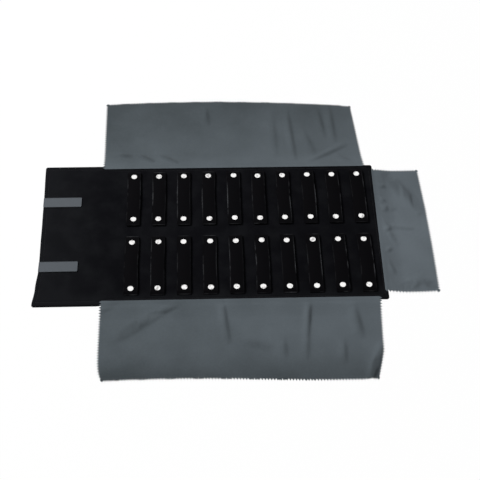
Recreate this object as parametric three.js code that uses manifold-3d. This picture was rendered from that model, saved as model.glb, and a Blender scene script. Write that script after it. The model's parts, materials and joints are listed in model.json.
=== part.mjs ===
// A jewelry roll laid open: a velvet-faced padded strip with two rows of snap straps,
// three cloth flaps that fold over the straps, and hook strips that close the roll.
// Millimetres, +Z up, +X to the end that is rolled first, +Y to the far long edge.
// The origin is the middle of the pad's underside.
import * as THREE from "three";
import { mergeVertices } from "three/addons/utils/BufferGeometryUtils.js";
import Module from "manifold-3d";

const wasm = await Module();
wasm.setup();

// The padded strip, and the clearance at every fold line across it
const PAD_WIDTH = 229;
const PAD_THICKNESS = 4.5;
const FOLD_GAP = 0.3;

// Along the strip: a bare closing end, a bare lead-in, the strap columns and a margin after the last one.
// The pad bends between all of these but the margin.
const CLOSING_LENGTH = 60.5;
const LEAD_IN = 45.825;
const COLUMNS = 10;
const COLUMN_PITCH = 34.35;
const END_MARGIN = 7.175;

// Straps: the sewn end, the start of its slope and the outer snap lie in from the pad's long edge,
// and the inner snap lies off the middle line
const STRAP_WIDTH = 18;
const STRAP_CLOTH = 0.8;
const STRAP_TIP = 10;
const STRAP_CORNER = 2;
const SEWN_END_INSET = 10.4;
const SLOPE_INSET = 15.4;
const OUTER_SNAP_INSET = 20;
const INNER_SNAP_Y = 19.5;
const SEAM_GAP = 0.25;

// One snap, from the pad upwards: stud base, post, socket ring round the post, strap cloth, cap
const STUD_RADIUS = 4.2;
const STUD_BASE = 0.4;
const POST_RADIUS = 1.7;
const POST_HEIGHT = 1.8;
const SOCKET_RADIUS = 4.2;
const BORE_CLEARANCE = 0.6;
const POST_HEADROOM = 0.3;
const SOCKET_GAP = 0.25;
const CAP_RADIUS = 4.6;
const CAP_RIM = 0.4;
const CAP_HEIGHT = 1.65;
const SUNK = 0.15;
const CAP_SIDES = 12;
const SNAP_SIDES = 8;

// Cloth flaps lying open around the pad: the long ones stop short of the pad's ends by these lengths
const FLAP_CLOTH = 0.7;
const FLAP_GAP = 0.5;
const FAR_FLAP = { closingEndInset: 80.8, flapEndInset: 14.5, depth: 126, side: 1 };
const NEAR_FLAP = { closingEndInset: 85, flapEndInset: 12.5, depth: 115.5, side: -1 };
const END_FLAP_INSET = 10.5;
const END_FLAP_DEPTH = 65;

// Hook strips on the closing end, and the loop strips they press onto, let into the underside
const HOOK_LENGTH = 52;
const HOOK_WIDTH = 16;
const HOOK_THICKNESS = 1.4;
const HOOK_Y = { far: 52, near: -56.8 };
const HOOK_EDGE = 0.3;
const LOOP_MARGIN = 2.025;
const LOOP_THICKNESS = 1;
const LOOP_COLUMN = 5;
const LOOP_GAP = 0.3;

// Fold lines across the pad, left to right, and the middle of each strap column
const padLength = CLOSING_LENGTH + LEAD_IN + COLUMNS * COLUMN_PITCH + END_MARGIN;
const closingEndX = -padLength / 2;
const flapEndX = padLength / 2;
const firstStrapX = closingEndX + CLOSING_LENGTH + LEAD_IN;
const strapFoldX = Array.from({ length: COLUMNS }, (_, i) => firstStrapX + i * COLUMN_PITCH);
const columnX = strapFoldX.map((x) => x + COLUMN_PITCH / 2);
const foldX = [closingEndX, closingEndX + CLOSING_LENGTH, ...strapFoldX, flapEndX];
const PANELS = foldX.length - 1;
const panelEnds = (i) => [
  foldX[i] + (i === 0 ? 0 : FOLD_GAP / 2),
  foldX[i + 1] - (i === PANELS - 1 ? 0 : FOLD_GAP / 2),
];
const FIRST_STRAP_PANEL = PANELS - COLUMNS;
const number = (i) => String(i + 1).padStart(2, "0");

const velvet = new THREE.MeshStandardMaterial({ color: 0x131417, roughness: 0.95, metalness: 0 });
const strapCloth = new THREE.MeshStandardMaterial({ color: 0x0f0f11, roughness: 0.8, metalness: 0 });
const flapCloth = new THREE.MeshStandardMaterial({ color: 0x535b5e, roughness: 0.9, metalness: 0 });
const hookTape = new THREE.MeshStandardMaterial({ color: 0x5e6268, roughness: 0.85, metalness: 0 });

const roll = new THREE.Group();

// A geometry as a solid, so that pieces can be joined and cut
function solid(geometry) {
  const bare = geometry.clone();
  bare.deleteAttribute("normal");
  bare.deleteAttribute("uv");
  const merged = mergeVertices(bare, 1e-4);
  const mesh = new wasm.Mesh({
    numProp: 3,
    vertProperties: new Float32Array(merged.attributes.position.array),
    triVerts: new Uint32Array(merged.index.array),
  });
  return new wasm.Manifold(mesh);
}

function geometryOf(made) {
  const { vertProperties, triVerts } = made.getMesh();
  const geometry = new THREE.BufferGeometry();
  geometry.setAttribute("position", new THREE.BufferAttribute(vertProperties, 3));
  geometry.setIndex(new THREE.BufferAttribute(triVerts, 1));
  geometry.computeVertexNormals();
  return geometry;
}

function addPiece(name, geometry, material, x = 0, turn = 0) {
  const mesh = new THREE.Mesh(geometry, material);
  mesh.name = name;
  mesh.position.x = x;
  mesh.rotation.z = turn;
  roll.add(mesh);
}

// A plate from one corner to the opposite one
function plate([x0, y0, z0], [x1, y1, z1]) {
  const box = new THREE.BoxGeometry(x1 - x0, y1 - y0, z1 - z0);
  return box.translate((x0 + x1) / 2, (y0 + y1) / 2, (z0 + z1) / 2);
}

// A profile of [radius, height] points turned about the upright axis at (x, y), standing on z
function turned(profile, sides, x, y, z) {
  const points = profile.map(([r, h]) => new THREE.Vector2(r, h));
  return new THREE.LatheGeometry(points, sides).rotateX(Math.PI / 2).translate(x, y, z);
}

// A section in Y and Z, run along X from x0 for a length
function runAlongX(section, x0, length, curveSegments = 1) {
  const run = new THREE.ExtrudeGeometry(section, { depth: length, bevelEnabled: false, curveSegments });
  const axes = new THREE.Matrix4().makeBasis(
    new THREE.Vector3(0, 1, 0),
    new THREE.Vector3(0, 0, 1),
    new THREE.Vector3(1, 0, 0),
  );
  return run.applyMatrix4(axes).translate(x0, 0, 0);
}

// One padded panel between two fold lines, with full-round long edges
const edgeRadius = PAD_THICKNESS / 2;
function panel(x0, x1) {
  const r = edgeRadius;
  const middle = PAD_WIDTH / 2 - r;
  const section = new THREE.Shape();
  section.moveTo(-middle, 0);
  section.lineTo(middle, 0);
  section.absarc(middle, r, r, -Math.PI / 2, Math.PI / 2, false);
  section.lineTo(-middle, PAD_THICKNESS);
  section.absarc(-middle, r, r, Math.PI / 2, (3 * Math.PI) / 2, false);
  return runAlongX(section, x0, x1 - x0, 4);
}

// A stud riveted through the pad's face: a flanged base with a waisted post
function stud(x, y) {
  const profile = [
    [0, -SUNK],
    [STUD_RADIUS, -SUNK],
    [STUD_RADIUS, STUD_BASE],
    [POST_RADIUS * 0.8, STUD_BASE],
    [POST_RADIUS, POST_HEIGHT * 0.7],
    [POST_RADIUS * 0.6, POST_HEIGHT],
    [0, POST_HEIGHT],
  ];
  return turned(profile, SNAP_SIDES, x, y, PAD_THICKNESS);
}

// Loop strips are let into the underside so that the pad still lies flat
const loopMiddleX = columnX[LOOP_COLUMN];
function loopStrip(y, spare, top) {
  const halfLength = (COLUMN_PITCH - FOLD_GAP) / 2 - LOOP_MARGIN + spare;
  const halfWidth = HOOK_WIDTH / 2 + spare;
  const low = [loopMiddleX - halfLength, y - halfWidth, -spare];
  const high = [loopMiddleX + halfLength, y + halfWidth, top];
  return plate(low, high);
}

const outerSnapY = PAD_WIDTH / 2 - OUTER_SNAP_INSET;
const snapYs = [outerSnapY, INNER_SNAP_Y, -INNER_SNAP_Y, -outerSnapY];
for (let i = 0; i < PANELS; i++) {
  let made = solid(panel(...panelEnds(i)));
  const column = i - FIRST_STRAP_PANEL;
  if (column >= 0) for (const y of snapYs) made = made.add(solid(stud(columnX[column], y)));
  if (column === LOOP_COLUMN) {
    for (const y of Object.values(HOOK_Y)) {
      made = made.subtract(solid(loopStrip(y, LOOP_GAP, LOOP_THICKNESS + LOOP_GAP)));
    }
  }
  addPiece(`pad_${number(i)}`, geometryOf(made), velvet);
}

// A strap for the far row, at x = 0: cloth that slopes down to its sewn end, two caps and two sockets
const socketZ = PAD_THICKNESS + STUD_BASE + SOCKET_GAP;
const clothZ = PAD_THICKNESS + POST_HEIGHT + POST_HEADROOM;
const capZ = clothZ + STRAP_CLOTH;

function socketRing(y) {
  const bore = POST_RADIUS + BORE_CLEARANCE;
  const height = clothZ - socketZ + SUNK;
  const profile = [
    [bore, 0],
    [SOCKET_RADIUS, 0],
    [SOCKET_RADIUS, height],
    [bore, height],
    [bore, 0],
  ];
  return turned(profile, SNAP_SIDES, 0, y, socketZ);
}

function snapCap(y) {
  const profile = [
    [0, -SUNK],
    [CAP_RADIUS, -SUNK],
    [CAP_RADIUS, CAP_RIM],
    [CAP_RADIUS * 0.68, CAP_HEIGHT * 0.8],
    [0, CAP_HEIGHT],
  ];
  return turned(profile, CAP_SIDES, 0, y, capZ);
}

function strap() {
  const half = STRAP_WIDTH / 2;
  const tipY = INNER_SNAP_Y - STRAP_TIP;
  const slopeY = PAD_WIDTH / 2 - SLOPE_INSET;
  const sewnY = PAD_WIDTH / 2 - SEWN_END_INSET;
  const sewnZ = PAD_THICKNESS + SEAM_GAP;
  const section = new THREE.Shape();
  section.moveTo(tipY, clothZ);
  section.lineTo(slopeY, clothZ);
  section.lineTo(sewnY, sewnZ);
  section.lineTo(sewnY, sewnZ + STRAP_CLOTH);
  section.lineTo(slopeY, clothZ + STRAP_CLOTH);
  section.lineTo(tipY, clothZ + STRAP_CLOTH);
  const outline = new THREE.Shape();
  outline.moveTo(half, sewnY + STRAP_TIP);
  outline.lineTo(-half, sewnY + STRAP_TIP);
  outline.lineTo(-half, tipY + STRAP_CORNER);
  outline.absarc(STRAP_CORNER - half, tipY + STRAP_CORNER, STRAP_CORNER, Math.PI, 1.5 * Math.PI, false);
  outline.absarc(half - STRAP_CORNER, tipY + STRAP_CORNER, STRAP_CORNER, 1.5 * Math.PI, 2 * Math.PI, false);
  const options = { depth: 2 * capZ, bevelEnabled: false, curveSegments: 3 };
  const cutter = new THREE.ExtrudeGeometry(outline, options);
  let made = solid(runAlongX(section, -half, STRAP_WIDTH)).intersect(solid(cutter));
  for (const y of [INNER_SNAP_Y, outerSnapY]) {
    made = made.add(solid(socketRing(y))).add(solid(snapCap(y)));
  }
  return geometryOf(made);
}

columnX.forEach((x, i) => {
  addPiece(`strap_far_${number(i)}`, strap(), strapCloth, x);
  addPiece(`strap_near_${number(i)}`, strap(), strapCloth, x, Math.PI);
});

// The long flaps are cut at the pad's fold lines, so each length turns with its own panel.
// Their sewn edge tucks in below the pad's round edge, with the cloth's top corner clear of it.
const tuck = Math.sqrt((edgeRadius + FLAP_GAP) ** 2 - (edgeRadius - FLAP_CLOTH) ** 2);
function longFlap(name, { closingEndInset, flapEndInset, depth, side }) {
  const inner = side * (PAD_WIDTH / 2 - edgeRadius + tuck);
  const ys = [inner, inner + side * depth].sort((a, b) => a - b);
  for (let i = 0; i < PANELS; i++) {
    const [x0, x1] = panelEnds(i);
    const start = Math.max(x0, closingEndX + closingEndInset);
    const end = Math.min(x1, flapEndX - flapEndInset);
    if (start >= end) continue;
    addPiece(`${name}_${number(i)}`, plate([start, ys[0], 0], [end, ys[1], FLAP_CLOTH]), flapCloth);
  }
}
longFlap("far_flap", FAR_FLAP);
longFlap("near_flap", NEAR_FLAP);

// The end flap folds over the last panel and creases where that panel meets the next one
const endFlapX = flapEndX + FLAP_GAP;
const creaseX = 2 * endFlapX - foldX[PANELS - 1];
const endFlapHalf = PAD_WIDTH / 2 - END_FLAP_INSET;
addPiece(
  "end_flap_inner",
  plate([endFlapX, -endFlapHalf, 0], [creaseX - FOLD_GAP / 2, endFlapHalf, FLAP_CLOTH]),
  flapCloth,
);
addPiece(
  "end_flap_outer",
  plate([creaseX + FOLD_GAP / 2, -endFlapHalf, 0], [endFlapX + END_FLAP_DEPTH, endFlapHalf, FLAP_CLOTH]),
  flapCloth,
);

// Hook strips lie on the closing end's velvet, from the edge inwards
const hookX = closingEndX + HOOK_EDGE;
for (const [place, y] of Object.entries(HOOK_Y)) {
  const low = [hookX, y - HOOK_WIDTH / 2, PAD_THICKNESS];
  const high = [hookX + HOOK_LENGTH, y + HOOK_WIDTH / 2, PAD_THICKNESS + HOOK_THICKNESS];
  addPiece(`hook_strip_${place}`, plate(low, high), hookTape);
  addPiece(`loop_strip_${place}`, loopStrip(y, 0, LOOP_THICKNESS), hookTape);
}

export default roll;
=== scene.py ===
import json
import math
import random

import bmesh
import bpy
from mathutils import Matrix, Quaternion, Vector, noise


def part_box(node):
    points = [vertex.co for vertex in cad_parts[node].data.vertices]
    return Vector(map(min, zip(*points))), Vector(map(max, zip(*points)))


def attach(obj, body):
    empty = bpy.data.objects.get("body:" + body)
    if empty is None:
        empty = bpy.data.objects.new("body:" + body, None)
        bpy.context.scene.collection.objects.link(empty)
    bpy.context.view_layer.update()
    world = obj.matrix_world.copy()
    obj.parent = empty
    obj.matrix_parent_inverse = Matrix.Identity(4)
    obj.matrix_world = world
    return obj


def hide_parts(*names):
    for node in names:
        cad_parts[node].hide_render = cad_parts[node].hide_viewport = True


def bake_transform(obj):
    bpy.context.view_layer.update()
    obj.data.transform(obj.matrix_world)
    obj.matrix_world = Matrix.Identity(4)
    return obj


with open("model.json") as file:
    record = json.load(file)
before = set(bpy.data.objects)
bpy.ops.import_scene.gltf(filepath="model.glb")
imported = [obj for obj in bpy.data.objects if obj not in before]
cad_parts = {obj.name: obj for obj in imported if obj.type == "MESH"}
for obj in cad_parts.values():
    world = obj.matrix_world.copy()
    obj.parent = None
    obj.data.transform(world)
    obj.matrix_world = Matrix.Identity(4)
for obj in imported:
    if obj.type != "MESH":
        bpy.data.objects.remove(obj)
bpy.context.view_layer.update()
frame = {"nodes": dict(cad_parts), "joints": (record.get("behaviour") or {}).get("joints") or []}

random.seed(11)
mm = 0.001


# Table, light and camera
# The roll lies open on a plain white table in a white room, under one large soft lamp to its upper left.
# The camera looks down on it from the near side, with the roll turned a degree or so.
class Value:
    """One value inside a finish; reckoning with it adds Math nodes."""

    def __init__(self, finish, socket):
        self.finish = finish
        self.socket = socket

    def math(self, operation, *others):
        return self.finish.node("Math", {"operation": operation}, dict(enumerate((self, *others))))

    def __add__(self, other):
        return self.math("ADD", other)

    def __sub__(self, other):
        return self.math("SUBTRACT", other)

    def __mul__(self, other):
        return self.math("MULTIPLY", other)

    def __rsub__(self, other):
        return self.finish.node("Math", {"operation": "SUBTRACT"}, {0: other, 1: self})

    __radd__ = __add__
    __rmul__ = __mul__

    def sine(self):
        return self.math("SINE")

    def over(self, edge, width):
        """0 below the edge, 1 above it, with a ramp of that width between."""
        sockets = {"Value": self, "From Min": edge, "From Max": edge + width}
        return self.finish.node("MapRange", {"interpolation_type": "SMOOTHSTEP"}, sockets)


class Finish:
    """One material being put together with its Principled shader, or the room, which has none."""

    def __init__(self, owner):
        self.material = owner if isinstance(owner, bpy.types.World) else bpy.data.materials.new(owner)
        self.material.use_nodes = True
        self.tree = self.material.node_tree
        self.shader = self.tree.nodes.get("Principled BSDF")

    def join(self, value, socket):
        if isinstance(value, Value):
            self.tree.links.new(value.socket, socket)
        else:
            socket.default_value = value

    def node(self, kind, settings, sockets, output=0):
        made = self.tree.nodes.new("ShaderNode" + kind)
        for key, setting in settings.items():
            setattr(made, key, setting)
        for key, value in sockets.items():
            self.join(value, made.inputs[key])
        return Value(self, made.outputs[output])

    def between(self, low, high, share):
        """The colour that lies that share of the way from low to high."""
        return self.node("Mix", {"data_type": "RGBA"}, {0: share, 6: (*low, 1), 7: (*high, 1)}, 2)

    def place(self, attribute=None):
        """Where a point lies on the open roll, in metres: as recorded, or its place on a rigid piece."""
        if attribute:
            return self.node("Attribute", {"attribute_name": attribute}, {}, "Vector")
        return self.node("TexCoord", {}, {}, "Object")

    def coordinate(self, where, axis):
        return self.node("SeparateXYZ", {}, {0: where}, axis)

    def speckle(self, where, scale, detail):
        return self.node("TexNoise", {}, {"Vector": where, "Scale": scale, "Detail": detail}, 0)

    def relief(self, height, depth, strength):
        return self.node("Bump", {}, {"Height": height, "Distance": depth, "Strength": strength})

    def looked_at(self):
        """1 for what the camera, a mirror or glass shows, 0 for the light that falls on things."""
        kinds = ("Camera", "Glossy", "Transmission")
        rays = [self.node("LightPath", {}, {}, f"Is {kind} Ray") for kind in kinds]
        return (rays[0] + rays[1] + rays[2]).math("MINIMUM", 1.0)

    def surface(self, **sockets):
        for key, value in sockets.items():
            self.join(value, self.shader.inputs[key.replace("_", " ")])
        return self.material


scene = bpy.context.scene
scene.view_settings.view_transform = "Standard"

table_size = 14
table_drop = 0.3 * mm
bpy.ops.object.select_all(action="DESELECT")
bpy.ops.mesh.primitive_plane_add(size=table_size, location=(0, 0, -table_drop))
table = bpy.context.object
table.name = "table"

seen_white = 0.98
white_table = Finish("white_table")
white_table.surface(Base_Color=(0.95, 0.95, 0.95, 1), Roughness=0.9)
seen = white_table.looked_at() * seen_white
glow = white_table.node("Emission", {}, {"Color": (1, 1, 1, 1), "Strength": 1.0})
lit = Value(white_table, white_table.shader.outputs[0])
mixed = white_table.node("MixShader", {}, {0: seen, 1: lit, 2: glow})
white_table.join(mixed, white_table.tree.nodes["Material Output"].inputs["Surface"])
table.data.materials.append(white_table.material)

room_level = 0.3
room = Finish(bpy.data.worlds.new("white_room"))
scene.world = room.material
sky = room.tree.nodes["Background"]
sky.inputs["Color"].default_value = (1, 1, 1, 1)
room.join(room.looked_at() * (1 - room_level) + room_level, sky.inputs["Strength"])

lamp_spot = (-1.1, 0.55, 1.15)
lamp_size = 0.6
lamp_watts = 29
bpy.ops.object.light_add(type="AREA", location=lamp_spot)
lamp = bpy.context.object
lamp.name = "soft_lamp"
lamp.data.size = lamp_size
lamp.data.energy = lamp_watts
lamp.visible_glossy = False
lamp.rotation_euler = (-lamp.location).to_track_quat("-Z", "Y").to_euler()

camera_spot = Vector((-0.0096, -0.9299, 1.1923))
camera_aim = Vector((0.0387, -0.0131, 0.0))
camera_roll = 0.02625
camera_lens = 84.14
bpy.ops.object.camera_add(location=camera_spot)
camera = bpy.context.object
camera.data.sensor_width = 36
camera.data.lens = camera_lens
level = (camera_aim - camera_spot).to_track_quat("-Z", "Y")
camera.rotation_euler = (level @ Quaternion((0, 0, 1), camera_roll)).to_euler()
scene.camera = camera


# Velvet strip
# One long padded strip: thin foam between a black velvet face and a plain woven cover, sewn together
# round the edge. It is made in lengths that reach from mid-panel to mid-panel, each spanning one fold.
def only(piece):
    bpy.ops.object.select_all(action="DESELECT")
    piece.select_set(True)
    bpy.context.view_layer.objects.active = piece


def settle(piece):
    """Puts the piece's place into its mesh, with its object unturned at the origin."""
    only(piece)
    bpy.ops.object.transform_apply(location=True, rotation=True, scale=True)


def add_block(name, low, high):
    bpy.ops.object.select_all(action="DESELECT")
    bpy.ops.mesh.primitive_cube_add(size=1, location=(low + high) / 2)
    block = bpy.context.object
    block.name = name
    block.scale = high - low
    settle(block)
    return block


def join_all(pieces):
    """Joins several pieces into the first of them."""
    bpy.ops.object.select_all(action="DESELECT")
    for piece in pieces:
        piece.select_set(True)
    bpy.context.view_layer.objects.active = pieces[0]
    bpy.ops.object.join()


def choose(piece, element, test):
    """Opens the piece in edit mode with the points, edges or faces that pass the test chosen."""
    only(piece)
    bpy.ops.object.mode_set(mode="EDIT")
    bpy.ops.mesh.select_mode(type=element)
    bpy.ops.mesh.select_all(action="DESELECT")
    shape = bmesh.from_edit_mesh(piece.data)
    for item in {"VERT": shape.verts, "EDGE": shape.edges, "FACE": shape.faces}[element]:
        if test(item):
            item.select_set(True)
    bmesh.update_edit_mesh(piece.data)


def close_edit():
    bpy.ops.mesh.select_all(action="SELECT")
    bpy.ops.mesh.normals_make_consistent(inside=False)
    bpy.ops.object.mode_set(mode="OBJECT")


def runs_along(edge, axis, least=4 * mm):
    run = edge.verts[1].co - edge.verts[0].co
    return run.length > least and abs(run[axis]) > 0.999 * run.length


def remember_place(piece):
    """Records where each point lies on the open roll, so that a pattern goes with the cloth as it bends."""
    record = piece.data.attributes.new("laid", "FLOAT_VECTOR", "POINT")
    record.data.foreach_set("vector", [c for v in piece.data.vertices for c in v.co])


def smooth(piece, degrees=40):
    only(piece)
    bpy.ops.object.shade_smooth_by_angle(angle=math.radians(degrees))


velvet_black = (0.0041, 0.0041, 0.0052)
# The paler velvet colour serves both the nap's own patches and painted sheen towards the closing end and the
# near edge.
velvet_nap_and_sheen = (0.0088, 0.0092, 0.0106)
sheen_end = (-0.24, 0.12)
sheen_edge = (-0.114, 0.022)
cover_dark, cover_light = (0.010, 0.010, 0.012), (0.020, 0.020, 0.023)
cover_pitch = 0.9 * mm
thread_dark, thread_light = (0.010, 0.010, 0.011), (0.024, 0.024, 0.027)
thread_twist = 5 / mm

velvet = Finish("black_velvet")
laid = velvet.place("laid")
nap = velvet.speckle(laid, 38, 3.0)
pile = velvet.speckle(laid, 1500, 2.0)
# Painted sheen: the velvet's colour is painted paler towards its bare closing end and its near edge. The nap
# and pile noise gives the velvet's own patchy tone.
sheen_at_closing_end = 1 - velvet.coordinate(laid, 0).over(*sheen_end)
sheen_at_near_edge = 1 - velvet.coordinate(laid, 1).over(*sheen_edge)
nap_and_sheen = (nap * 0.65 + pile * 0.35).over(0.38, 0.3) * 0.75 + sheen_at_closing_end * 0.75 + sheen_at_near_edge * 0.6
velvet.surface(
    Base_Color=velvet.between(velvet_black, velvet_nap_and_sheen, nap_and_sheen),
    Roughness=0.95,
    Specular_IOR_Level=0.0,
    Sheen_Weight=0.03,
    Sheen_Roughness=0.45,
    Sheen_Tint=(0.75, 0.8, 0.9, 1),
    Normal=velvet.relief(nap * 0.35 + pile * 0.65, 0.9 * mm, 0.6),
)

cover = Finish("woven_cover")
laid = cover.place("laid")
across = cover.coordinate(laid, 0)
along = cover.coordinate(laid, 1)
thread_turns = 2 * math.pi / cover_pitch
weave = (across * thread_turns).sine() * (along * thread_turns).sine() * 0.5 + 0.5
cover.surface(
    Base_Color=cover.between(cover_dark, cover_light, weave),
    Roughness=0.85,
    Specular_IOR_Level=0.2,
    Normal=cover.relief(weave, 0.25 * mm, 0.6),
)

thread = Finish("black_thread")
laid = thread.place("laid")
twist = (thread.coordinate(laid, 0) + thread.coordinate(laid, 1)) * thread_twist
thread.surface(
    Base_Color=thread.between(thread_dark, thread_light, twist.sine() * 0.5 + 0.5),
    Roughness=0.6,
    Specular_IOR_Level=0.1,
)

stitch_long = 2.2 * mm
stitch_wide = 0.5 * mm
stitch_high = 0.4 * mm
stitch_round = 0.12 * mm
stitch_pitch = 3.0 * mm


def add_stitches(start, axis, length):
    """A run of stitches from a point along X (axis 0) or Y (axis 1): one stitch, repeated."""
    plan = (stitch_long, stitch_wide) if axis == 0 else (stitch_wide, stitch_long)
    half = Vector((*plan, stitch_high)) / 2
    run = add_block("stitches", start - half, start + half)
    choose(run, "EDGE", lambda e: True)
    bpy.ops.mesh.bevel(offset=stitch_round, segments=1, affect="EDGES")
    close_edit()
    repeat = run.modifiers.new("repeat", "ARRAY")
    repeat.count = max(1, int(length / stitch_pitch))
    repeat.use_relative_offset = False
    repeat.use_constant_offset = True
    repeat.constant_offset_displace = (stitch_pitch, 0, 0) if axis == 0 else (0, stitch_pitch, 0)
    bpy.ops.object.modifier_apply(modifier=repeat.name)
    run.data.materials.append(thread.material)
    return run


hinge_at = {joint["name"]: Vector(joint["pos_m"]) for joint in frame["joints"]}
panels = sum(name.startswith("pad_") for name in frame["nodes"])
strip_low, strip_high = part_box("pad_01")[0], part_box(f"pad_{panels:02d}")[1]
strip_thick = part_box("pad_01")[1].z
edge_round = 2.1 * mm
corner_round = 2.5 * mm
seam_inset = 5.5 * mm
seam_half = 0.9 * mm
seam_depth = 0.5 * mm
stitch_heights = (strip_thick - 0.35 * mm, 0.05 * mm)
cut_pitch = 2 * mm
cuts_across = 72
swell_most = 0.3 * mm
swell_fade = 14 * mm
swell_scale = 22
hair = 1e-6


def panel_middle(number):
    low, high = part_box(f"pad_{number:02d}")
    return (low.x + high.x) / 2


def velvet_swell(x, y):
    """The foam's slow unevenness under the velvet, which dies out towards the sewn edge."""
    inside = min(strip_high.y - abs(y), x - strip_low.x, strip_high.x - x)
    lumps = noise.noise(Vector((x * swell_scale, y * swell_scale, 3.0)))
    return swell_most * min(1.0, inside / swell_fade) * lumps


def round_corner(x, y):
    """Draws a place near one of the strip's four corners in, so that the corner is round in plan."""
    side_x = 1 if x > 0 else -1
    side_y = 1 if y > 0 else -1
    a = 1 - (strip_high.x - x * side_x) / corner_round
    b = 1 - (strip_high.y - y * side_y) / corner_round
    if a <= 0 or b <= 0:
        return x, y
    pull = 1 - max(a, b) / math.hypot(a, b)
    return x - side_x * a * pull * corner_round, y - side_y * b * pull * corner_round


closing_bow = ((-114.5, -3.0), (-90, -0.3), (-57, 2.1), (0, 1.3), (52, 0.6), (114.5, -0.8))
bow_run = 80 * mm
spread_most = 3.4 * mm
spread_from = -125 * mm
spread_run = 25 * mm
spread_inner = 80 * mm


def ease(share):
    share = max(0.0, min(1.0, share))
    return share * share * (3 - 2 * share)


def spread(x):
    """How far the strip's edge stands out at the bare closing end, which no flap's seam draws in."""
    return spread_most * ease((spread_from - x) / spread_run)


def bowed(x, y):
    """How far a place moves along the strip, because its closing end isn't quite straight. closing_bow gives
    that end's bow in millimetres, by how far across the strip it is."""
    y = max(closing_bow[0][0], min(closing_bow[-1][0], y / mm))
    low, high = next(pair for pair in zip(closing_bow, closing_bow[1:]) if y <= pair[1][0])
    bow = low[1] + (high[1] - low[1]) * ease((y - low[0]) / (high[0] - low[0]))
    return bow * mm * max(0.0, 1 - (x - strip_low.x) / bow_run)


for number in range(1, panels):
    first, last = number == 1, number == panels - 1
    x0 = strip_low.x if first else panel_middle(number)
    x1 = strip_high.x if last else panel_middle(number + 1)
    end_x = x0 if first else x1
    length = add_block(
        f"velvet_strip_{number:02d}", Vector((x0, strip_low.y, 0)), Vector((x1, strip_high.y, strip_thick))
    )

    def on_end(edge):
        return (first or last) and all(abs(v.co.x - end_x) < hair for v in edge.verts)

    choose(length, "EDGE", lambda e: runs_along(e, 0) or on_end(e))
    bpy.ops.mesh.bevel(offset=edge_round, segments=5, affect="EDGES")
    close_edit()
    choose(length, "EDGE", lambda e: runs_along(e, 0))
    bpy.ops.mesh.subdivide(number_cuts=round((x1 - x0) / cut_pitch))
    close_edit()
    choose(length, "EDGE", lambda e: runs_along(e, 1))
    bpy.ops.mesh.subdivide(number_cuts=cuts_across)
    close_edit()
    steps = (-seam_half, 0, seam_half)
    seam_lines = [(1, side * (strip_high.y - seam_inset + step)) for side in (-1, 1) for step in steps]
    if first or last:
        inward = 1 if first else -1
        seam_lines += [(0, end_x + inward * (seam_inset + step)) for step in steps]
    for axis, where in seam_lines:
        choose(length, "FACE", lambda f: True)
        plane = Vector((1, 0, 0)) if axis == 0 else Vector((0, 1, 0))
        bpy.ops.mesh.bisect(plane_co=plane * where, plane_no=plane)
        close_edit()
    for v in length.data.vertices:
        on_seam = abs(abs(v.co.y) - (strip_high.y - seam_inset)) < hair
        on_seam = on_seam or ((first or last) and abs(abs(v.co.x - end_x) - seam_inset) < hair)
        if v.co.z > strip_thick - hair:
            v.co.z += velvet_swell(v.co.x, v.co.y) - (seam_depth if on_seam else 0)
        v.co.x, v.co.y = round_corner(v.co.x, v.co.y)
    length.data.materials.append(velvet.material)
    length.data.materials.append(cover.material)
    for face in length.data.polygons:
        face.material_index = 1 if face.normal.z < -0.6 else 0
    sewn = [length]
    for height in stitch_heights:
        for side in (-1, 1):
            from_x = x0 + (seam_inset if first else stitch_pitch / 2)
            spare = seam_inset if first or last else 0
            seam_y = side * (strip_high.y - seam_inset)
            sewn.append(add_stitches(Vector((from_x, seam_y, height)), 0, x1 - x0 - spare))
        if first or last:
            from_y = strip_low.y + seam_inset + stitch_pitch
            end_run = Vector((end_x + inward * seam_inset, from_y, height))
            sewn.append(add_stitches(end_run, 1, -2 * from_y))
    join_all(sewn)
    for v in length.data.vertices:
        outward = max(0.0, abs(v.co.y) - spread_inner) / (strip_high.y - spread_inner)
        v.co.x += bowed(v.co.x, v.co.y)
        v.co.y += math.copysign(spread(v.co.x) * outward, v.co.y)
    smooth(length)
    remember_place(length)
    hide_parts(f"pad_{number:02d}", *([f"pad_{panels:02d}"] if last else []))
    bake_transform(length)


# Snap studs
# A small nickel stud is riveted to the velvet under each snap: a round flange with a waisted post,
# which the strap's socket springs over.
nickel_bright, nickel_dark_reflection = (0.99, 0.985, 0.975), (0.52, 0.505, 0.50)
nickel = Finish("bright_nickel")
where = nickel.place()
scuffs = nickel.speckle(where, 700, 3.0)
# Painted reflection: darker patches in the nickel's colour stand in for reflections of the dark cloth around
# the caps.
dark_reflection = nickel.speckle(where, 260, 1.0).over(0.5, 0.2) * 0.9
nickel.surface(
    Base_Color=nickel.between(nickel_bright, nickel_dark_reflection, dark_reflection + scuffs * 0.1),
    Metallic=1.0,
    Roughness=scuffs * 0.14 + 0.08,
)

snap_outer = 94.5 * mm
snap_inner = 19.5 * mm
stud_radius = 4.2 * mm
stud_sunk = 0.3 * mm
# Steps of a round shape: how far its face is drawn up, in millimetres, and how much it is then scaled.
stud_steps = ((0.55, 1.0), (0.15, 0.93), (0, 0.42), (0.75, 0.85), (0.45, 1.25), (0.3, 0.7))
# How far a snap may be off its row, in millimetres.
slip_along = 0.6
slip_across = 0.7


def add_disc(name, radius, height, sides=24):
    bpy.ops.object.select_all(action="DESELECT")
    bpy.ops.mesh.primitive_circle_add(
        vertices=sides, radius=radius, fill_type="NGON", location=(0, 0, height)
    )
    disc = bpy.context.object
    disc.name = name
    settle(disc)
    return disc


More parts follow.
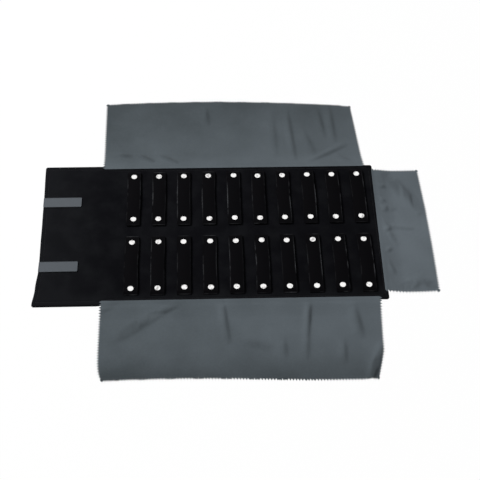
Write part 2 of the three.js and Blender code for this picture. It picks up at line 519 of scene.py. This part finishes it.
def raise_face(up, scale):
    """Draws the chosen face up, or down, and makes its outline larger or smaller."""
    bpy.ops.mesh.extrude_region_move(TRANSFORM_OT_translate={"value": (0, 0, up)})
    bpy.ops.transform.resize(value=(scale, scale, 1), center_override=(0, 0, 0))


def copies_at(model, places, name):
    """Copies of a model at several places, each with its own mesh, joined into one piece."""
    made = []
    for place in places:
        only(model)
        bpy.ops.object.duplicate()
        made.append(bpy.context.object)
        bpy.ops.transform.translate(value=place)
    join_all(made)
    made[0].name = name
    settle(made[0])
    return made[0]


stud = add_disc("stud_model", stud_radius, strip_thick - stud_sunk)
choose(stud, "FACE", lambda f: True)
for up, scale in stud_steps:
    raise_face(up * mm, scale)
close_edit()
stud.data.materials.append(nickel.material)
smooth(stud, 35)

columns = range(1, 11)
rows = (("far", 1), ("near", -1))
column_x = {n: sum(c.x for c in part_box(f"strap_far_{n:02d}")) / 2 for n in columns}


def by_hand(x, y):
    """A snap's place as it was set by hand, a little off its row."""
    x += random.uniform(-slip_along, slip_along) * mm
    y += random.uniform(-slip_across, slip_across) * mm
    return Vector((x, y, 0))


snap_spots = {
    (row, n): [by_hand(column_x[n], side * y) for y in (snap_outer, snap_inner)]
    for row, side in rows for n in columns
}
for n in columns:
    studs = copies_at(stud, snap_spots["far", n] + snap_spots["near", n], f"snap_studs_{n:02d}")
    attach(studs, f"panel_{n + 2:02d}")
bpy.data.objects.remove(stud)


# Strap loops
# Twenty black velvet ribbons with turned edges, each sewn to the strip at its outer end. A ribbon arches a
# little between its two snaps, and its tip lies free past the inner one.
ribbon_top = 7.4 * mm
ribbon_thick = 0.8 * mm
ribbon_end_top = 5.35 * mm
ribbon_cells = (20, 70)
slope_from = 99.1 * mm
slope_run = 5 * mm
tip_long = 10 * mm
tip_drop = 0.9 * mm
under_end_flap = (9, 10)
side_droop = 0.25 * mm
arch_droop = 1.1 * mm
turned_edge = 1.1 * mm
bead_high = 0.3 * mm
# How far past the snaps the painted highlight along a ribbon's sides reaches.
highlight_past_snap = 8 * mm
highlight_run = snap_outer - snap_inner + 2 * highlight_past_snap

# Arches and sways are in millimetres. The painted highlight's ranges are those of the brighter side, the
# other side and the tips, and in the first columns the left side is the brighter one.
least_arch, most_arch, flat_arch = 0.6, 1.5, 0.5
most_sway = 0.8
highlight_ranges = ((0.25, 1.0), (0.05, 0.3), (0.1, 0.6))
lit_left_to = 6

ribbon_black, ribbon_highlight = (0.0030, 0.0028, 0.0034), (0.110, 0.113, 0.122)
ribbon = Finish("black_ribbon")
laid = ribbon.place("laid")
pile = ribbon.speckle(laid, 1300, 2.0)
# Painted highlight: the ribbon's colour is lighter along its turned sides, most midway between the snaps,
# and at its cut tips. This stands in for light caught on the edges.
highlight_mask = ribbon.node("Attribute", {"attribute_name": "turned_edge"}, {}, "Fac")
edge_highlight = ribbon.speckle(laid, 60, 2.0).over(0.35, 0.3) * highlight_mask
ribbon.surface(
    Base_Color=ribbon.between(ribbon_black, ribbon_highlight, edge_highlight * 0.85 + pile * 0.02),
    Roughness=0.8,
    Specular_IOR_Level=0.0,
    Sheen_Weight=0.02,
    Sheen_Roughness=0.4,
    Normal=ribbon.relief(pile, 0.5 * mm, 0.5),
)


def add_grid(name, middle, size, cells):
    """A flat grid of that size round a middle point, with that many cells each way."""
    bpy.ops.object.select_all(action="DESELECT")
    bpy.ops.mesh.primitive_grid_add(
        x_subdivisions=cells[0], y_subdivisions=cells[1], size=1, location=middle
    )
    grid = bpy.context.object
    grid.name = name
    grid.scale = (*size, 1)
    settle(grid)
    return grid


def thicken(piece, thickness, offset):
    """Gives a flat piece its thickness, below it with offset -1 and above it with 1."""
    thick = piece.modifiers.new("thickness", "SOLIDIFY")
    thick.thickness = thickness
    thick.offset = offset
    only(piece)
    bpy.ops.object.modifier_apply(modifier=thick.name)


def ribbon_height(across, along, arch):
    """The top of a ribbon: across is -1 to 1 over its width, along the distance from the strip's middle."""
    if along > slope_from:
        drop = min(1.0, (along - slope_from) / slope_run)
        return ribbon_top + (ribbon_end_top - ribbon_top) * drop * drop * (3 - 2 * drop)
    if along > snap_outer or along < snap_inner:
        free = max(0.0, snap_inner - along) / tip_long
        return ribbon_top - tip_drop * free * free - side_droop * across ** 2
    lift = math.sin(math.pi * (along - snap_inner) / (snap_outer - snap_inner))
    return ribbon_top + arch * lift - (side_droop + arch_droop * lift) * across ** 2


for row, side in rows:
    for n in columns:
        node = f"strap_{row}_{n:02d}"
        low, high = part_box(node)
        arch = (random.uniform(least_arch, most_arch) if n < columns[-1] else flat_arch) * mm
        arch = min(arch, flat_arch * mm) if n in under_end_flap else arch
        sway = random.uniform(-most_sway, most_sway) * mm
        # Each ribbon's painted highlight: a brighter side, a fainter side and its tips.
        lit_side, other_side, lit_ends = (random.uniform(*span) for span in highlight_ranges)
        left_highlight, right_highlight = (lit_side, other_side) if n <= lit_left_to else (other_side, lit_side)
        strap = add_grid(
            f"ribbon_{row}_{n:02d}", (low + high) / 2, (high.x - low.x, high.y - low.y), ribbon_cells
        )
        half = (high.x - low.x) / 2
        painted_light_mark = strap.data.attributes.new("turned_edge", "FLOAT", "POINT")
        for v in strap.data.vertices:
            across = (v.co.x - column_x[n]) / half
            along = abs(v.co.y)
            from_side = (1 - abs(across)) * half
            from_end = min(v.co.y - low.y, high.y - v.co.y)
            bead = max(0.0, 1 - min(from_side, from_end) / turned_edge)
            on_side = max(0.0, 1 - from_side / turned_edge) * (left_highlight if across < 0 else right_highlight)
            midway = max(0.0, math.sin(math.pi * (along - snap_inner + highlight_past_snap) / highlight_run))
            on_end = max(0.0, 1 - from_end / turned_edge) * lit_ends * max(0.0, 1 - abs(across)) ** 0.5
            painted_light_mark.data[v.index].value = max(on_side * midway, on_end)
            v.co.z = ribbon_height(across, along, arch) + bead_high * bead
            v.co.x += sway * math.sin(math.pi * (along - snap_inner) / (snap_outer - snap_inner)) ** 2
        thicken(strap, ribbon_thick, -1)
        strap.data.materials.append(ribbon.material)
        smooth(strap, 60)
        remember_place(strap)
        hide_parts(node)
        outer = high.y if side > 0 else low.y
        outer - side * 4.5 * mm
        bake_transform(strap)


# Snap caps and sockets
# Each ribbon carries two snaps, pressed through the cloth: a domed nickel cap with a rolled rim above,
# and a socket ring below, which grips the stud's post.
cap_radius = 3.95 * mm
cap_foot = 0.95
cap_sides = 32
socket_radius = 4.2 * mm
socket_low = 5.15 * mm
cap_sunk = 0.15 * mm
cap_rim = ((0.2, 1.05), (0.25, 1.0), (0.2, 0.95))
cap_dome = ((0.05, 0.94), (0.32, 0.88), (0.30, 0.80), (0.20, 0.66), (0.08, 0.45), (-0.06, 0.4))
socket_sunk = 0.1 * mm
socket_bore = ((-0.2, 0.93), (0, 0.62), (1.25, 0.95))

cap = add_disc("cap_model", cap_radius * cap_foot, ribbon_top - cap_sunk, cap_sides)
choose(cap, "FACE", lambda f: True)
for up, scale in cap_rim + cap_dome:
    raise_face(up * mm, scale)
close_edit()
cap.data.materials.append(nickel.material)
smooth(cap, 50)

ring = add_disc("socket_model", socket_radius, ribbon_top - ribbon_thick + socket_sunk)
choose(ring, "FACE", lambda f: True)
raise_face(socket_low - ribbon_top + ribbon_thick + socket_sunk, 1.0)
for up, scale in socket_bore:
    raise_face(up * mm, scale)
close_edit()
ring.data.materials.append(nickel.material)
smooth(ring, 35)

join_all([cap, ring])
for row, side in rows:
    for n in columns:
        snaps = copies_at(cap, snap_spots[row, n], f"snap_caps_{row}_{n:02d}")
        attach(snaps, f"strap_{row}_{n:02d}")
cap_top = max(v.co.z for v in cap.data.vertices)
bpy.data.objects.remove(cap)


# Hook strips and loop strips
# Two grey hook tapes are sewn to the velvet at the closing end. Two loop tapes are let into the cover, and
# the hooks press onto them once the strip is rolled.
tape_corner = 1.2 * mm
tape_rim = 0.2 * mm
tape_slope = 0.35 * mm
tape_sunk = 0.25 * mm

tape_dark, tape_light = (0.070, 0.078, 0.088), (0.112, 0.124, 0.138)
hook_pitch = 1.5 * mm
tape = Finish("grey_tape")
where = tape.place()
across = tape.coordinate(where, 0)
along = tape.coordinate(where, 1)
hook_turns = 2 * math.pi / hook_pitch
hooks = ((across * hook_turns).sine() + (along * hook_turns).sine()) * 0.25 + 0.5
fuzz = tape.speckle(where, 900, 2.0)
tape.surface(
    Base_Color=tape.between(tape_dark, tape_light, hooks * 0.6 + fuzz * 0.4),
    Roughness=0.8,
    Specular_IOR_Level=0.1,
    Normal=tape.relief(hooks * 0.7 + fuzz * 0.3, 0.5 * mm, 0.7),
)
for kind, body in (("hook", "panel_01"), ("loop", "panel_08")):
    for place in ("far", "near"):
        node = f"{kind}_strip_{place}"
        low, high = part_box(node)
        strip = add_block(f"{kind}_tape_{place}", low, high)
        choose(strip, "EDGE", lambda e: runs_along(e, 2, 0.5 * mm))
        bpy.ops.mesh.bevel(offset=tape_corner, segments=4, affect="EDGES")
        close_edit()
        choose(strip, "FACE", lambda f: f.normal.z > 0.9 if kind == "hook" else f.normal.z < -0.9)
        bpy.ops.mesh.inset(thickness=tape_rim, depth=0.0)
        bpy.ops.mesh.inset(thickness=tape_slope, depth=-tape_sunk)
        close_edit()
        if kind == "hook":
            for v in strip.data.vertices:
                v.co.x += bowed(v.co.x, v.co.y)
        strip.data.materials.append(tape.material)
        smooth(strip, 35)
        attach(strip, body)
        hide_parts(node)


# Cloth flaps
# Three thin grey cloths, cut with pinking shears, are sewn to the strip's margin and hang over its edge onto
# the table, softly creased. They fold over the straps before it is rolled. The long ones are in one length
# for each panel.
tooth_step = 2.0 * mm
tooth_reach = 1.6 * mm
corner_tooth = 0.3
cloth_thick = 0.45 * mm
sewn_inset = 2.8 * mm
edge_run = 26 * mm
rise_run = 7 * mm
most_rise = 3.5 * mm
fold_clearance = 0.2 * mm
tuck_steps = 4
tuck_thinner = 0.12 * mm
tuck_clearance = 0.1 * mm
fold_height = hinge_at["roll_01_02"].z
cloth_turn = 17 * mm
crease_reach = 8 * mm
joined_before = 12 * mm
# Painted shade along the creases: how far towards the lamp the crease height is read, the crease height that
# gives full shade, and the most shade.
shade_offset = 1.6 * mm
shade_full = 3 * mm
shade_most = 1.2

cloth_dark, cloth_pale = (0.050, 0.060, 0.066), (0.152, 0.179, 0.201)
cloth_pitch = 0.7 * mm
shaded_hem = (-0.235, 0.05)
flap_cloth = Finish("grey_flap_cloth")
laid = flap_cloth.place("laid")
across = flap_cloth.coordinate(laid, 0)
along = flap_cloth.coordinate(laid, 1)
thread_turns = 2 * math.pi / cloth_pitch
weave = (across * thread_turns).sine() * (along * thread_turns).sine() * 0.5 + 0.5
cloudy = flap_cloth.speckle(laid, 16, 4.0)
flecks = flap_cloth.speckle(laid, 420, 2.0)
near_hem_shade = 1 - along.over(*shaded_hem)
# Painted shade on each crease's side away from the lamp darkens the cloth.
crease_shade = flap_cloth.node("Attribute", {"attribute_name": "crease_shade"}, {}, "Fac")
# Painted light and shade: the cloth's colour is paler towards the right, and darker the further it lies from
# the strip's middle line and again at the near hem. This stands in for how its slopes face the lamp.
painted_shading = across * 1.35 - along.math("ABSOLUTE") * 3.3 - along * 0.7 + 0.74 - near_hem_shade * 0.4
flap_cloth.surface(
    Base_Color=flap_cloth.between(
        cloth_dark, cloth_pale,
        painted_shading * 0.62 + cloudy * 0.5 + flecks * 0.15 + weave * 0.1 - crease_shade * 0.22 - 0.15,
    ),
    Roughness=0.8,
    Specular_IOR_Level=0.15,
    Sheen_Weight=0.03,
    Normal=flap_cloth.relief(weave * 0.5 + flecks * 0.5, 0.25 * mm, 0.5),
)

# The direction towards the lamp in plan: creases are steep on the side away from it, and their painted shade
# falls on that side.
toward_lamp = Vector((-0.9, 0.44))
crease_width, crease_skew = 1.45, 0.55
ribbon_reach, ribbon_fade = 10 * mm, 3.5 * mm
snap_reach, snap_fade = 5 * mm, 4 * mm
strip_swell = 0.4 * mm
edge_clearance = 0.15 * mm
lie_height = 0.4 * mm
slow_wave = 0.4 * mm
fine_wave = 0.25 * mm


def ridge(x, y, crease):
    """A crease from one point to another, in millimetres, with a height and a half width. It is steep on
    one side and runs out twice as far on the other, the way the cloth was smoothed out."""
    start, end = Vector(crease[0:2]) * mm, Vector(crease[2:4]) * mm
    run = end - start
    share = max(0.0, min(1.0, (Vector((x, y)) - start).dot(run) / run.length_squared))
    gap = Vector((x, y)) - start - run * share
    fade = math.sin(math.pi * (0.1 + 0.8 * share))
    half_width = crease[5] * mm * (crease_width + crease_skew * gap.normalized().dot(toward_lamp))
    return crease[4] * mm * fade * math.exp(-gap.length_squared / half_width ** 2)


def fold_room(x, y, level):
    """How far a cloth may stand up and still clear what is on the strip where it comes down, once it is
    folded over to that level."""
    n = min(columns, key=lambda n: abs(x - column_x[n]))
    beside = abs(x - column_x[n])
    from_snap = min(math.hypot(beside, abs(y) - snap_y) for snap_y in (snap_outer, snap_inner))
    crown = ribbon_top + (flat_arch if n in under_end_flap else most_arch) * mm
    top = strip_thick + strip_swell
    past_sewn_end = ease((abs(y) - slope_from) / slope_run)
    top += (crown - top) * (1 - ease((beside - ribbon_reach) / ribbon_fade)) * (1 - past_sewn_end)
    top += (cap_top - top) * (1 - ease((from_snap - snap_reach) / snap_fade))
    return max(0.0, min(most_rise, level - cloth_thick - fold_clearance - top))


def cloth_rise(x, y, past_edge, creases, most):
    """How far the cloth's underside stands off the table, by how far it is past the strip's edge."""
    run = max(0.0, min(1.0, (past_edge + edge_round) / edge_run))
    over_edge = (strip_thick + edge_clearance) * (1 - run) ** 1.5
    slow = noise.noise(Vector((x * 16, y * 11, 1.0)))
    fine = noise.noise(Vector((x * 42, y * 34, 5.0)))
    rise = lie_height + slow_wave * slow + fine_wave * fine + sum(ridge(x, y, c) for c in creases)
    return over_edge + max(0.0, min(rise, most(x, y) - over_edge)) * ease(past_edge / rise_run)


def lay_cloth(name, low, high, past_edge, pinked, tucks, outline, creases, most):
    """A cloth between two corners, with raised creases and painted shade on their sides away from the lamp,
    its pinked sides cut to teeth and its left and right ends tucked that far into the next lengths.
    past_edge gives how far a place is past the strip's edge, outline where the cut cloth has it, and most
    the highest that it may stand there."""
    across = 2 * round((high.x - low.x) / (2 * tooth_step))
    along = 2 * round((high.y - low.y) / (2 * tooth_step))
    step = (high.x - low.x) / across
    left, right = (tuck_steps if tuck else 0 for tuck in tucks)
    middle = (low + high) / 2 + Vector(((right - left) * step / 2, 0, 0))
    size = (high.x - low.x + (left + right) * step, high.y - low.y)
    cloth = add_grid(name, middle, size, (left + across + right, along))
    painted_light_mark = cloth.data.attributes.new("crease_shade", "FLOAT", "POINT")
    tucked = []
    for v in cloth.data.vertices:
        column = round((v.co.x - low.x) / step)
        line = round((v.co.y - low.y) / (high.y - low.y) * along)
        tucked.append(column < 0 or column > across)
        x, y = max(low.x, min(high.x, v.co.x)), v.co.y
        v.co.x, v.co.y = outline(x, y)
        beside = outline(x + (step if column <= 0 else -step), y)[0]
        narrowed = min(1.0, abs(v.co.x - beside) / step)
        if tucked[-1]:
            top = cloth_rise(v.co.x, v.co.y, past_edge(v.co.x, v.co.y), creases, most)
            top += cloth_thick + tuck_clearance
            tuck = (min(0, column) * tucks[0] + max(0, column - across) * tucks[1]) / tuck_steps
            v.co.x += tuck * (1 - top / fold_height)
        v.co.z = cloth_rise(v.co.x, v.co.y, past_edge(v.co.x, v.co.y), creases, most)
        # Painted shade: the crease height a little way towards the lamp is recorded, so the cloth is
        # darkened on each crease's side away from the lamp.
        upper = v.co.to_2d() + toward_lamp * shade_offset
        crease_shade_here = sum(ridge(upper.x, upper.y, c) for c in creases)
        painted_light_mark.data[v.index].value = min(shade_most, crease_shade_here / shade_full)
        on_side = ("right" in pinked and column == across) - ("left" in pinked and column == 0)
        on_hem = ("high" in pinked and line == along) - ("low" in pinked and line == 0)
        tooth = tooth_reach if (column + line) % 2 else -tooth_reach
        if on_side and on_hem:
            tooth = corner_tooth * tooth_reach
        v.co.x += on_side * tooth * narrowed
        v.co.y += on_hem * tooth
    thicken(cloth, cloth_thick, 1)
    for v in cloth.data.vertices:
        if tucked[v.index % len(tucked)]:
            v.co.z += -tuck_thinner if v.index < len(tucked) else tuck_thinner
    cloth.data.materials.append(flap_cloth.material)
    smooth(cloth, 60)
    remember_place(cloth)
    return cloth


# Creases as seen in the cloth: from x, y to x, y, height and half width, all in millimetres.
far_creases = [
    (115, 222, 121, 130, 1.7, 2.8),
    (160, 224, 166, 174, 1.4, 2.8),
    (177, 232, 180, 165, 1.6, 3.2),
    (142, 125, 196, 156, 1.6, 2.6),
    (136, 184, 149, 140, 1.2, 3.6),
    (-4, 229, -2, 200, 1.3, 2.6),
    (-101, 142, -80, 128, 2.8, 2.0),
    (-73, 142, -46, 125, 2.6, 2.0),
    (92, 214, 94, 138, 1.1, 4.2),
    (177, 139, 197, 125, 1.6, 2.8),
    (-130, 143, -112, 139, 1.6, 2.2),
]
near_creases = [
    (-70, -132, -38, -114, 2.2, 2.6),
    (-123, -168, -66, -130, 1.9, 5.0),
    (12, -112, 19, -173, 2.0, 2.8),
    (125, -114, 119, -166, 2.6, 2.4),
    (119, -162, 116, -198, 1.4, 3.0),
    (181, -126, 187, -168, 2.4, 4.0),
    (164, -176, 163, -205, 1.4, 2.8),
    (35, -172, 69, -183, 1.6, 4.0),
    (88, -173, 89, -196, 1.3, 3.2),
    (-140, -124, -121, -113, 1.7, 2.8),
    (213, -183, 191, -238, 3.6, 3.2),
]
end_creases = [
    (248, 96, 292, 28, 3.6, 5.5),
    (229, 76, 246, 75, 2.0, 1.8),
    (229, 51, 241, 49, 1.8, 1.6),
    (230, 34, 252, 37, 1.8, 3.0),
    (230, 15, 240, 5, 2.0, 1.7),
    (231, -5, 248, 5, 2.0, 1.8),
    (245, 5, 272, 1, 1.8, 1.9),
    (239, -3, 250, -24, 1.6, 2.0),
    (229, -41, 240, -33, 1.8, 1.7),
    (231, -51, 240, -73, 1.6, 2.0),
    (249, -98, 277, -85, 2.0, 4.5),
    (275, -85, 295, -100, 2.2, 4.5),
]


def end_share(x, joint, end_x):
    """How far a place is from the last fold before an end of a long cloth to that end, from 0 to 1. The
    cloth's lengths meet straight along the folds, so only its end lengths are cut askew."""
    fold_x = hinge_at[joint].x
    return max(0.0, min(1.0, (x - fold_x) / (end_x - fold_x)))


# The cuts of the long cloths are in millimetres, by how far along (u) and out (s) a place is on the whole
# cloth, whose corners whole_low and whole_high are set for each flap before it is laid.
def far_outline(x, y):
    """The far cloth as cut: its outer edge bows out left of the middle, and its right edge leans in."""
    u = (x - whole_low.x) / (whole_high.x - whole_low.x)
    s = max(0.0, (y - strip_high.y) / (whole_high.y - strip_high.y))
    left, right = end_share(x, "roll_02_03", whole_low.x), end_share(x, "roll_11_12", whole_high.x)
    return x + (right * (3 - 8 * s) - left * s) * mm, y + s * (0.3 + 22.5 * u - 30.8 * u * u) * mm


def near_outline(x, y):
    """The near cloth as cut: its outer edge waves a little, and its corner at the right is drawn in."""
    u = (x - whole_low.x) / (whole_high.x - whole_low.x)
    s = max(0.0, (strip_low.y - y) / (strip_low.y - whole_low.y))
    wave = 2.5 - 2.3 * u + 2.2 * math.sin(5.65 * u)
    drawn_in = 6.3 * s + 8.0 * max(0.0, (s - 0.65) / 0.35) ** 1.15
    left, right = end_share(x, "roll_02_03", whole_low.x), end_share(x, "roll_11_12", whole_high.x)
    return x + (right * (0.9 - drawn_in) + left * 6 * s ** 10) * mm, y + s * wave * mm


def tuck_at(joint):
    """How far two lengths are tucked into each other at a fold, so that they just meet when it is bent."""
    bend = next(j["range_deg"][0] for j in frame["joints"] if j["name"] == joint)
    return hinge_at[joint].z * math.tan(math.radians(abs(bend)) / 2)


def past_long_edge(x, y):
    return abs(y) - strip_high.y - spread(x)


def past_end_edge(x, y):
    return x - strip_high.x


long_flaps = (("far", 1, far_outline, far_creases), ("near", -1, near_outline, near_creases))
for flap, side, outline, creases in long_flaps:
    fold = hinge_at[f"{flap}_flap_fold"]
    numbers = sorted(int(name[-2:]) for name in frame["nodes"] if name.startswith(f"{flap}_flap_"))
    whole_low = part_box(f"{flap}_flap_{numbers[0]:02d}")[0]
    whole_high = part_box(f"{flap}_flap_{numbers[-1]:02d}")[1]
    sewn_y = side * (strip_high.y - sewn_inset)
    for number in numbers:
        node = f"{flap}_flap_{number:02d}"
        low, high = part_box(node)
        first, last = number == numbers[0], number == numbers[-1]
        before, after = f"roll_{number - 1:02d}_{number:02d}", f"roll_{number:02d}_{number + 1:02d}"
        low.x = low.x if first else hinge_at[before].x
        high.x = high.x if last else hinge_at[after].x
        tucks = (0 if first else tuck_at(before), 0 if last else tuck_at(after))
        low.y, high.y = (sewn_y, high.y) if side > 0 else (low.y, sewn_y)
        low.z = high.z = 0
        sides = ["high" if side > 0 else "low"] + ["left"] * first + ["right"] * last
        cloth = lay_cloth(
            f"{flap}_cloth_{number:02d}", low, high, past_long_edge, sides, tucks,
            outline, creases, lambda x, y: fold_room(x, 2 * fold.y - y, 2 * fold.z),
        )
        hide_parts(node)
        high.x - low.x + sum(tucks)
        sewn_y + side * cloth_turn
        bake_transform(cloth)

end_low, end_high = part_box("end_flap_inner")[0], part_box("end_flap_outer")[1]
sewn_x = strip_high.x - sewn_inset
crease_x = hinge_at["end_flap_crease"].x
joined_x = crease_x - joined_before
fold = hinge_at["end_flap_fold"]


def end_outline(x, y):
    """The end cloth as cut: its outer edge bows out a little and leans, and so does its sewn edge."""
    s = (x - sewn_x) / (end_high.x - sewn_x)
    lean = y / end_high.y
    outer = (-0.4 - 1.5 * lean + 1.8 * (1 - lean * lean)) * mm
    return x + s * outer + (1 - s) * 1.4 * lean * mm, y + 1.2 * mm


for part, x0, x1, bodies, turn in (
    ("inner", sewn_x, joined_x, ("panel_12", "end_flap_inner"), (sewn_x, sewn_x + cloth_turn)),
    (
        "outer", joined_x, end_high.x, ("end_flap_inner", "end_flap_outer"),
        (crease_x - crease_reach, crease_x + crease_reach),
    ),
):
    low, high = Vector((x0, end_low.y, 0)), Vector((x1, end_high.y, 0))
    sides = ["low", "high"] + ["right"] * (part == "outer")
    cloth = lay_cloth(
        f"end_cloth_{part}", low, high, past_end_edge, sides, (0, 0),
        end_outline, end_creases, lambda x, y: fold_room(2 * fold.x - x, y, 2 * fold.z),
    )
    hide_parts(f"end_flap_{part}")
    x1 - x0
    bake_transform(cloth)
